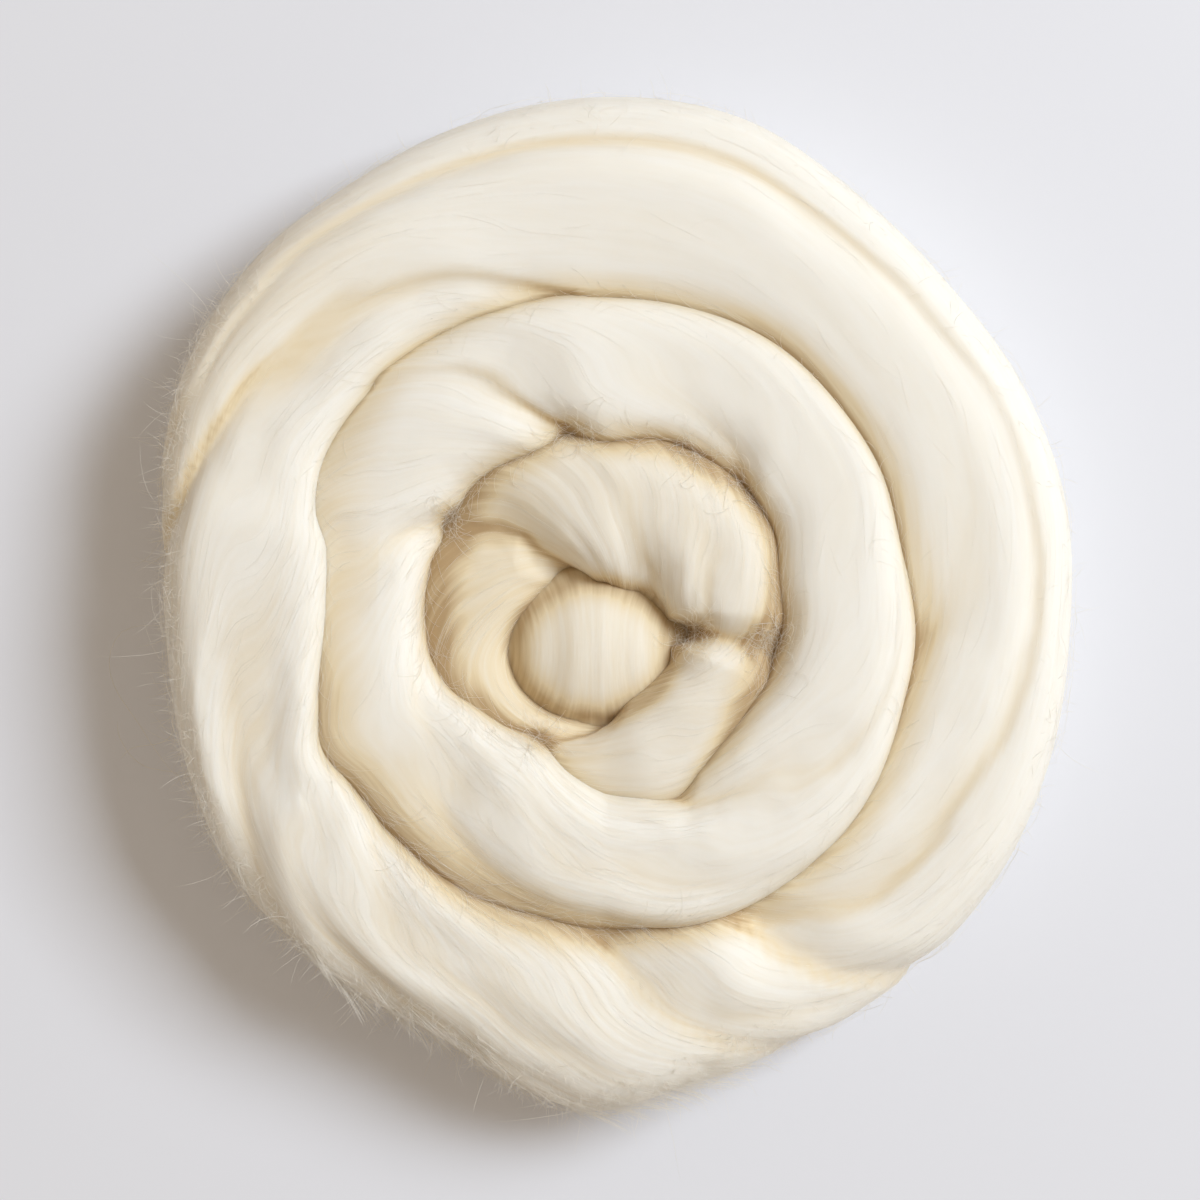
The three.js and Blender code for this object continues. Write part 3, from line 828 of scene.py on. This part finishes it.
def wool_group():
    """Tones and painted shade, roughness and height of wool, from what the mesh keeps."""
    group = bpy.data.node_groups.new("wool_grain_and_painted_shade", "ShaderNodeTree")
    for way, sockets in GROUP_SOCKETS:
        for name, kind in sockets:
            group.interface.new_socket(name, in_out=way, socket_type="NodeSocket" + kind)
    inputs = group.nodes.new("NodeGroupInput")
    outputs = group.nodes.new("NodeGroupOutput")

    def streaks(scale, detail):
        """Noise drawn out along the fibres."""
        noise = group.nodes.new("ShaderNodeTexNoise")
        noise.noise_dimensions = "4D"
        noise.inputs["Scale"].default_value = scale
        noise.inputs["Detail"].default_value = detail
        link(group, inputs.outputs["Grain"], noise.inputs["Vector"])
        link(group, inputs.outputs["Run"], noise.inputs["W"])
        return noise.outputs["Fac"]

    def blend(factor, first, second):
        """A mix of two colours, each a constant or a socket."""
        mix = group.nodes.new("ShaderNodeMix")
        mix.data_type = "RGBA"
        link(group, factor, mix.inputs["Factor"])
        for value, name in ((first, "A"), (second, "B")):
            socket = next(s for s in mix.inputs if s.name == name and s.type == "RGBA")
            if isinstance(value, tuple):
                socket.default_value = (*value, 1)
            else:
                link(group, value, socket)
        return next(s for s in mix.outputs if s.type == "RGBA")

    def ranged(value, *limits):
        """A value spread from one range, low and high, to another."""
        node = group.nodes.new("ShaderNodeMapRange")
        for name, number in zip(("From Min", "From Max", "To Min", "To Max"), limits):
            node.inputs[name].default_value = number
        link(group, value, node.inputs["Value"])
        return node.outputs["Result"]

    def reckon(operation, first, second):
        """Arithmetic on two sockets."""
        node = group.nodes.new("ShaderNodeMath")
        node.operation = operation
        link(group, first, node.inputs[0])
        link(group, second, node.inputs[1])
        return node.outputs[0]

    fine, wisps, broad = streaks(2.0, 3), streaks(0.8, 3), streaks(0.3, 2)
    strength = ranged(inputs.outputs["Frizz"], 0, 1, 0.15, 1)
    soft = blend(ranged(fine, 0.35, 0.65, 0, 0.45), WOOL_LIGHT, WOOL_SHADE)
    wisp = reckon("MULTIPLY", ranged(wisps, 0.42, 0.68, 0, 0.75), strength)
    wispy = blend(wisp, soft, WOOL_WISP)
    toned = blend(ranged(broad, 0.35, 0.7, 0, 0.4), wispy, WOOL_CREAM)
    uneven = ranged(streaks(0.8, 4), 0.35, 0.65, 0.84, 1.16)
    # painted shade, made a little uneven, mixes the tones to tan and then to deep brown
    painted_shade = reckon("MULTIPLY", inputs.outputs["Painted_shade"], uneven)
    warm = blend(ranged(painted_shade, 0.0, 0.6, 0, 0.9), toned, PAINTED_SHADE_TAN)
    deep = blend(ranged(painted_shade, 0.55, 1.0, 0, 0.9), warm, PAINTED_SHADE_DEEP)
    link(group, deep, outputs.inputs["Color"])
    link(group, ranged(fine, 0.3, 0.7, 0.8, 0.95), outputs.inputs["Roughness"])
    relief = reckon("ADD", ranged(fine, 0, 1, 0, 0.35), ranged(wisps, 0, 1, 0.55, 0))
    link(group, reckon("MULTIPLY", relief, strength), outputs.inputs["Height"])
    return group


wool_grain_and_painted_shade = wool_group()
print(wool_grain_and_painted_shade.name, "has", len(wool_grain_and_painted_shade.nodes), "nodes")

# %% The material of the strand
def principled(name, settings):
    """A new material and its shader, with constants set on the shader's own sockets."""
    material = bpy.data.materials.new(name)
    material.use_nodes = True
    shader = material.node_tree.nodes["Principled BSDF"]
    for socket, value in settings.items():
        shader.inputs[socket].default_value = value
    return material, shader


COMBED = {
    "Subsurface Weight": 0.6,
    "Subsurface Radius": (1.0, 0.75, 0.5),
    "Subsurface Scale": 3 * MM,
    "Specular IOR Level": 0.2,
    "Sheen Weight": 0.15,
    "Sheen Roughness": 0.4,
    "Sheen Tint": (1.0, 0.97, 0.92, 1),
}


def combed_wool():
    """The strand's body: grain, tones and painted shade from the group, scattering and sheen."""
    material, shader = principled("combed_wool", COMBED)
    shader.subsurface_method = "BURLEY"
    tree = material.node_tree
    grain = tree.nodes.new("ShaderNodeGroup")
    grain.node_tree = wool_grain_and_painted_shade
    for name, socket in (("grain", "Vector"), ("run", "Fac"), ("painted_shade", "Fac"), ("frizz", "Fac")):
        kept = tree.nodes.new("ShaderNodeAttribute")
        kept.attribute_name = name
        link(tree, kept.outputs[socket], grain.inputs[name.capitalize()])
    link(tree, grain.outputs["Color"], shader.inputs["Base Color"])
    link(tree, grain.outputs["Roughness"], shader.inputs["Roughness"])
    bump = tree.nodes.new("ShaderNodeBump")
    bump.inputs["Strength"].default_value = 0.35
    bump.inputs["Distance"].default_value = 0.5 * MM
    link(tree, grain.outputs["Height"], bump.inputs["Height"])
    link(tree, bump.outputs["Normal"], shader.inputs["Normal"])
    return material


combed = combed_wool()
for piece in (*turn_pieces, core):
    piece.data.materials.append(combed)
print(combed.name, "is on", len(turn_pieces) + 1, "pieces")

# %% [markdown]
# ## Loose fibres
#
# What tells wool from clay is its surface: fibres lie on it, lift off it, cross its seams and
# stand out round its edge. Blender's hair curves would do this, but a part that is shared as
# meshes needs real fibres. So each is a thin tube of three sides, closed and tapered at both
# ends, and thousands of them are one mesh. Their paths follow the twist on the same formula that
# shaped the turns, so they lie along the grain.

# %% Many fibres as one mesh
def fibre_mesh(name, paths, radius, flat=1.0):
    """One closed, tapered, three-sided tube for each path, joined as one mesh.

    paths has a row for each fibre and a point, in millimetres, for each step along it. flat is
    the height of a fibre against its width."""
    count, steps, _ = paths.shape
    run = np.gradient(paths, axis=1)
    run /= np.linalg.norm(run, axis=2, keepdims=True) + 1e-9
    aside = np.cross(run, [0.0, 0.0, 1.0])
    level = np.linalg.norm(aside, axis=2, keepdims=True)
    aside = np.where(level > 0.05, aside / (level + 1e-9), [1.0, 0.0, 0.0])
    above = np.cross(aside, run)
    along = np.linspace(-1, 1, steps)
    thick = np.asarray(radius).reshape(-1, 1) * (0.25 + 0.75 * np.sqrt(1 - along**2))
    rings = [
        paths + thick[..., None] * (aside * math.cos(angle) + above * flat * math.sin(angle))
        for angle in (math.pi / 2, math.pi * 7 / 6, math.pi * 11 / 6)
    ]
    points = np.stack(rings, axis=2).reshape(-1, 3)

    first = np.arange(count)[:, None] * steps * 3
    ring = first + np.arange(steps - 1)[None, :] * 3
    walls = [
        np.stack([ring + a, ring + b, ring + b + 3, ring + a + 3], axis=-1)
        for a, b in ((0, 1), (1, 2), (2, 0))
    ]
    quads = np.stack(walls, axis=2).reshape(-1, 4)
    start = first + np.array([[2, 1, 0]])
    finish = first + (steps - 1) * 3 + np.array([[0, 1, 2]])
    ends = np.concatenate([start, finish])

    mesh = bpy.data.meshes.new(name)
    mesh.vertices.add(len(points))
    mesh.vertices.foreach_set("co", (points * MM).ravel())
    corners = np.concatenate([quads.ravel(), ends.ravel()])
    mesh.loops.add(len(corners))
    mesh.loops.foreach_set("vertex_index", corners)
    sizes = np.concatenate([np.full(len(quads), 4), np.full(len(ends), 3)])
    mesh.polygons.add(len(sizes))
    mesh.polygons.foreach_set("loop_start", np.concatenate([[0], np.cumsum(sizes)[:-1]]))
    mesh.update(calc_edges=True)
    piece = bpy.data.objects.new(name, mesh)
    bpy.context.collection.objects.link(piece)
    print(name, count, "fibres,", len(quads) * 2 + len(ends), "triangles")
    return piece


fibre_pieces = []


def add_fibres(name, paths, seed, thinnest, thickest, flat=1.0):
    """Makes a piece of fibres that each have a thickness of their own."""
    radii = np.random.default_rng(seed).uniform(thinnest, thickest, len(paths))
    fibre_pieces.append(fibre_mesh(name, paths, radii, flat))

# %% Fibres that lie along the twist
def lying_fibres(turn, count, length, lift, stray, seed, sides=(-0.6, 3.7), steps=7):
    """Paths that follow the twist over a turn's surface.

    lift is the least and most height over the wool, and stray how far a fibre drifts sideways."""
    draw = np.random.default_rng(seed)
    start = draw.uniform(0, 360, 5 * count)  # more than are needed: frizzy places keep more
    start = start[draw.uniform(0, 1, 5 * count) < 0.06 + 0.9 * frizz(turn, start)][:count]
    count = len(start)
    side = draw.uniform(*sides, count)
    middle, _, _, round_radius = turn.edges(start)
    reach = draw.uniform(*length, count) / (middle * DEGREE)
    t = np.linspace(-0.5, 0.5, steps)[None, :]
    bearing = start[:, None] + reach[:, None] * t
    twist = turn.twist_at(bearing) - turn.twist_at(start)[:, None]
    wander = draw.normal(0, stray, (count, 1)) * t
    wander = wander + draw.normal(0, stray, (count, 1)) * (t**2 - 0.08)
    side = side[:, None] - twist + wander / round_radius[:, None]
    over = draw.uniform(*lift, (count, 1)) * (1 - 3.4 * t**2 * draw.uniform(0, 1, (count, 1)))
    place = surface(turn, bearing.ravel(), side.ravel(), over.ravel())[0]
    return place.reshape(count, steps, 3)


for turn, count, seed in zip(TURNS, (2600, 1300, 700), (101, 102, 103)):
    paths = lying_fibres(turn, count, (6, 15), (0.0, 0.05), 1.0, seed)
    add_fibres("roving_" + turn.name + "_fibres", paths, seed, 0.015, 0.035, 0.35)

# %% Fuzz round the edge
fuzz = lying_fibres(TURNS[0], 900, (4, 11), (0.2, 1.6), 6.0, 201, sides=(-0.7, 0.6))
add_fibres("roving_edge_fuzz", fuzz, 202, 0.02, 0.04)

# %% [markdown]
# ## Stray hairs
#
# Handling pulls some fibres out of line. They stand out round the edge, they bridge the seams,
# they tangle in little knots where turns end, and a few long ones fall clear of the nest. The
# ones that lie on the wool need to know how high it stands, so the finished turns are first read
# into a map of heights, seen from above.

# %% A map of how high the wool stands
CELL = 1.0  # millimetres across a cell of the map
MAP_HALF = 125  # half the map's side
FLOOR_GAP = 0.1  # how near to the floor a stray hair may come


def height_map(pieces):
    """The top of the wool in each cell of a grid, in millimetres."""
    size = int(2 * MAP_HALF / CELL)
    top = np.zeros((size, size))
    for piece in pieces:
        place = np.empty(len(piece.data.vertices) * 3)
        piece.data.vertices.foreach_get("co", place)
        place = place.reshape(-1, 3) / MM
        cell = ((place[:, :2] + MAP_HALF) / CELL).astype(int)
        np.maximum.at(top, (cell[:, 0], cell[:, 1]), place[:, 2])
    return top


wool_top = height_map((*turn_pieces, core))
print("the wool stands up to", round(float(wool_top.max()), 1), "mm")


def top_at(x, y):
    """How high the wool stands at places on the plane."""
    last = len(wool_top) - 1
    column, row = (np.clip(((v + MAP_HALF) / CELL).astype(int), 0, last) for v in (x, y))
    return wool_top[column, row]

# %% Hairs draped over the wool
def draped_hairs(draw, x, y, heading, length, curl, hump, steps=7):
    """Paths that set out from each place on a heading, bend, and bridge the dips below them."""
    count = len(x)
    t = np.linspace(0, 1, steps)[None, :]
    bend = draw.normal(0, curl, (count, 1)) * t + draw.normal(0, curl, (count, 1)) * t**2
    turned = heading[:, None] + bend
    stride = (length / (steps - 1))[:, None]
    path_x = x[:, None] + np.cumsum(np.cos(turned) * stride, axis=1)
    path_y = y[:, None] + np.cumsum(np.sin(turned) * stride, axis=1)
    under = top_at(path_x, path_y)
    before, after = np.roll(under, 1, axis=1), np.roll(under, -1, axis=1)
    before[:, 0], after[:, -1] = under[:, 0], under[:, -1]
    bridged = np.maximum(under, (before + after) / 2)
    height = bridged + hump[:, None] * 4 * t * (1 - t) - 0.05
    return np.stack([path_x, path_y, np.maximum(height, FLOOR_GAP)], axis=2)

# %% Hairs along the seams
def seam_hairs(seed, count, name, bearings, scatter, lengths):
    """Hairs that lie about a seam between two turns."""
    draw = np.random.default_rng(seed)
    bearing = draw.uniform(*bearings, count)
    reach = seam_at(name, bearing) + draw.normal(0, scatter, count)
    x = EYE[0] + reach * np.cos(bearing * DEGREE)
    y = EYE[1] + reach * np.sin(bearing * DEGREE)
    heading = bearing * DEGREE + math.pi / 2 + draw.normal(0, 0.5, count)
    length, hump = draw.uniform(*lengths, count), draw.uniform(0, 0.5, count)
    return draped_hairs(draw, x, y, heading, length, 0.7, hump)


seam_paths = [
    seam_hairs(301, 420, "inner", (-30, 240), 0.7, (3, 8)),
    seam_hairs(302, 300, "outer", (0, 360), 0.8, (3, 9)),
    seam_hairs(303, 160, "outer", (200, 290), 1.6, (5, 12)),
]
add_fibres("roving_seam_hairs", np.concatenate(seam_paths), 304, 0.02, 0.036)

# %% Knots of hair: x, y, spread and how many
KNOTS = (
    (15.6, -6.6, 1.6, 90),
    (32.5, -8.0, 2.2, 70),
    (-36.8, 19.0, 1.2, 50),
    (-16.8, -29.6, 0.9, 35),
    (-9.7, 37.5, 2.4, 50),
    (16.0, 32.0, 2.0, 30),
    (27.0, 24.5, 2.0, 30),
)


def knot_hairs(seed):
    """Short hairs that curl every way about each knot."""
    draw = np.random.default_rng(seed)
    paths = []
    for x, y, spread, count in KNOTS:
        places = draw.normal(0, spread, (2, count))
        heading = draw.uniform(0, 2 * math.pi, count)
        length = draw.uniform(2.5, 8, count)
        hump = draw.uniform(0.1, 1.0, count)
        place = x + places[0], y + places[1]
        paths.append(draped_hairs(draw, *place, heading, length, 2.0, hump))
    return np.concatenate(paths)


add_fibres("roving_knots", knot_hairs(401), 402, 0.025, 0.045)

# %% Hairs that stand out round the edge
LONGEST = 14  # millimetres, of a hair at the edge


def bent_paths(root, length, heading, bend, steps):
    """Curved paths from each root, which stay above the floor."""
    t = np.linspace(0, 1, steps)[None, :, None]
    path = root[:, None, :] + length * (heading[:, None, :] * t + bend[:, None, :] * t**2 / 2)
    path[..., 2] = np.maximum(path[..., 2], FLOOR_GAP)
    return path


def edge_hairs(seed, count, bearings, mean_length, lean, least=1.5, steps=6, curl=1.1):
    """Short curved hairs that are rooted in the outer flank and stick out any way."""
    draw = np.random.default_rng(seed)
    bearing = draw.uniform(*bearings, count)
    side = draw.uniform(-0.5, 1.0, count)
    root = surface(TURNS[0], bearing, side, np.full(count, -0.3))[0]
    angle = bearing * DEGREE
    level = np.cos(side)
    out = np.stack([np.cos(angle) * level, np.sin(angle) * level, np.sin(side)], axis=1)
    along = np.stack([-np.sin(angle), np.cos(angle), 0 * angle], axis=1)
    heading = out * draw.uniform(0.05, 0.6, (count, 1))
    heading = heading + along * draw.normal(lean, 1.1, (count, 1))
    heading /= np.linalg.norm(heading, axis=1, keepdims=True)
    bend = np.cross(heading, draw.normal(0, 1, (count, 3))) * curl
    length = np.minimum(least + draw.exponential(mean_length, count), LONGEST)[:, None, None]
    return bent_paths(root, length, heading, bend, steps)


halo = [
    edge_hairs(501, 1200, (0, 360), 1.4, 0),
    edge_hairs(502, 1900, (140, 290), 1.6, 0.3, curl=2.0),
]
add_fibres("roving_edge_hairs", np.concatenate(halo), 503, 0.022, 0.045)
down = [
    edge_hairs(504, 1500, (0, 360), 0.5, 0, 0.6, 4, 1.5),
    edge_hairs(505, 4600, (135, 295), 0.8, 0.2, 0.8, 4, 2.2),
]
add_fibres("roving_edge_down", np.concatenate(down), 506, 0.02, 0.04)

# %% The feathery tips of the strand's end
def tail_tips(seed, staples, hairs, bearings):
    """Small staples of hairs that run with the strand and leave it at its edge."""
    draw = np.random.default_rng(seed)
    count = staples * hairs

    def shared(low, high):
        """One value for each staple, given to all its hairs."""
        return np.repeat(draw.uniform(low, high, staples), hairs)

    bearing, side = shared(*bearings), shared(-0.3, 0.9)
    bearing += draw.normal(0, 0.5, count)
    side += draw.normal(0, 0.06, count)
    root = surface(TURNS[0], bearing, side, np.full(count, 0.1))[0]
    splay = shared(0.12, 0.5) + draw.normal(0, 0.05, count)
    angle = bearing * DEGREE + math.pi / 2 - splay
    drop = shared(-0.35, 0.05) + draw.normal(0, 0.04, count)
    heading = np.stack([np.cos(angle), np.sin(angle), drop], axis=1)
    bend = np.repeat(draw.normal(0, 0.25, (staples, 1)), hairs, axis=0)
    sideways = np.stack([-np.sin(angle), np.cos(angle), 0 * angle], axis=1)
    length = shared(6, 16) * draw.uniform(0.7, 1, count)
    return bent_paths(root, length[:, None, None], heading, bend * sideways, 6)


add_fibres("roving_tail_tips", tail_tips(601, 60, 12, (226, 284)), 602, 0.02, 0.04)

# %% Long hairs that have come loose: x, y and height along each
LONG_STRAYS = (
    (
        (-98.0, -5.5, 17), (-102.5, -5.0, 15), (-107.0, -5.2, 12), (-111.0, -6.8, 9),
        (-113.4, -10.5, 7), (-113.9, -14.8, 6), (-112.6, -19.2, 6), (-109.8, -23.4, 7),
        (-106.8, -27.4, 8), (-104.0, -31.4, 10), (-101.0, -35.2, 12), (-97.5, -39.0, 14),
    ),
    (
        (-112.6, -26.5, 3), (-112.0, -30.0, 4), (-109.5, -34.0, 5), (-106.0, -36.6, 6),
        (-101.8, -37.4, 8), (-98.4, -38.0, 10), (-96.6, -41.0, 12), (-93.6, -43.6, 14),
    ),
    (
        (-97.4, -21.5, 16), (-98.6, -25.0, 15), (-98.8, -28.6, 13), (-101.4, -31.0, 11),
        (-105.4, -31.8, 9), (-109.0, -32.6, 7), (-111.6, -35.0, 5),
    ),
    (
        (-84.0, -60.0, 14), (-83.0, -64.0, 12), (-82.2, -67.0, 9), (-83.0, -70.0, 6),
    ),
)


def long_stray(row, steps=20):
    """A smooth path through the places of one row."""
    at = np.array(row, float)
    at = np.concatenate([2 * at[:1] - at[1:2], at, 2 * at[-1:] - at[-2:-1]])
    place = np.linspace(0, len(row) - 1, steps)
    i = np.minimum(place.astype(int), len(row) - 2)
    t = (place - i)[:, None]
    p0, p1, p2, p3 = (at[i + k] for k in range(4))
    second, third = 2 * p0 - 5 * p1 + 4 * p2 - p3, 3 * p1 - p0 - 3 * p2 + p3
    return 0.5 * (2 * p1 + (p2 - p0) * t + second * t**2 + third * t**3)


STRAY_RADIUS = 0.065  # thicker than the rest, since each lies alone
strays = np.stack([long_stray(row) for row in LONG_STRAYS])
stray_radii = np.full(len(strays), STRAY_RADIUS)
fibre_pieces.append(fibre_mesh("roving_long_strays", strays, stray_radii))

# %% The material of a loose fibre
# A single fibre is a little paler than the mass, since nothing shades it.
LOOSE = {"Base Color": (0.92, 0.87, 0.78, 1), "Roughness": 0.6, "Specular IOR Level": 0.3}
loose, _ = principled("loose_wool", LOOSE)
for piece in fibre_pieces:
    piece.data.materials.append(loose)
print(loose.name, "is on", len(fibre_pieces), "pieces")

# %% [markdown]
# ## Joining the frame
#
# Each piece stands for the CAD solid and rides on its one body.

# %% Every piece stands for the roving
for piece in (*turn_pieces, core, *fibre_pieces):
    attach(piece, "root")
    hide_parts("roving")

# %% [markdown]
# ## The floor, the light and the camera
#
# A pale plain floor, a large soft light half way up on the right, and a dim warm room that fills
# the shadows. The camera looks straight down.

# %% The floor
bpy.ops.mesh.primitive_plane_add(size=6, location=(0, 0, 0))
floor = bpy.context.object
floor.name = "floor"
floor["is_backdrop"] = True
pale, _ = principled("pale_floor", {"Base Color": (0.787, 0.79, 0.828, 1), "Roughness": 0.45})
floor.data.materials.append(pale)
print(floor.name, "is", round(floor.dimensions.x, 1), "m wide")

# %% The light
def soft_light(name, place, aim, size, power_watts, colour):
    """A square area light that points at a place."""
    data = bpy.data.lights.new(name, "AREA")
    data.size = size
    data.energy = power_watts
    data.color = colour
    light = bpy.data.objects.new(name, data)
    bpy.context.collection.objects.link(light)
    light.location = place
    light.rotation_euler = (Vector(aim) - Vector(place)).to_track_quat("-Z", "Y").to_euler()
    print(name, "gives", power_watts, "W")


soft_light("window", (2.25, 1.1, 2.5), (0, 0, 0.02), 1.5, 115, (0.83, 0.91, 1.0))
room = bpy.data.worlds.new("room")
bpy.context.scene.world = room
room.use_nodes = True
glow = room.node_tree.nodes["Background"]
glow.inputs["Color"].default_value = (1.0, 0.86, 0.7, 1)
glow.inputs["Strength"].default_value = 0.43
bpy.context.scene.view_settings.view_transform = "Standard"

# %% The camera
FRAME_WIDTH = 0.264  # metres across the frame, at the height of the nest's edge
EDGE_HEIGHT = 0.018
CAMERA_ASIDE = (-0.0042, 0.0006)  # where it hangs over the nest
LENS = 100  # millimetres
SENSOR = 36
camera_data = bpy.data.cameras.new("camera")
camera_data.lens = LENS
camera_data.sensor_width = SENSOR
camera = bpy.data.objects.new("camera", camera_data)
bpy.context.collection.objects.link(camera)
camera.location = (*CAMERA_ASIDE, EDGE_HEIGHT + FRAME_WIDTH * LENS / SENSOR)
bpy.context.scene.camera = camera
print("camera height:", round(camera.location.z, 3), "m")

# %% Measure and finish
visual_box = [list(corner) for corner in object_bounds()]
print("visual box, metres:", visual_box)
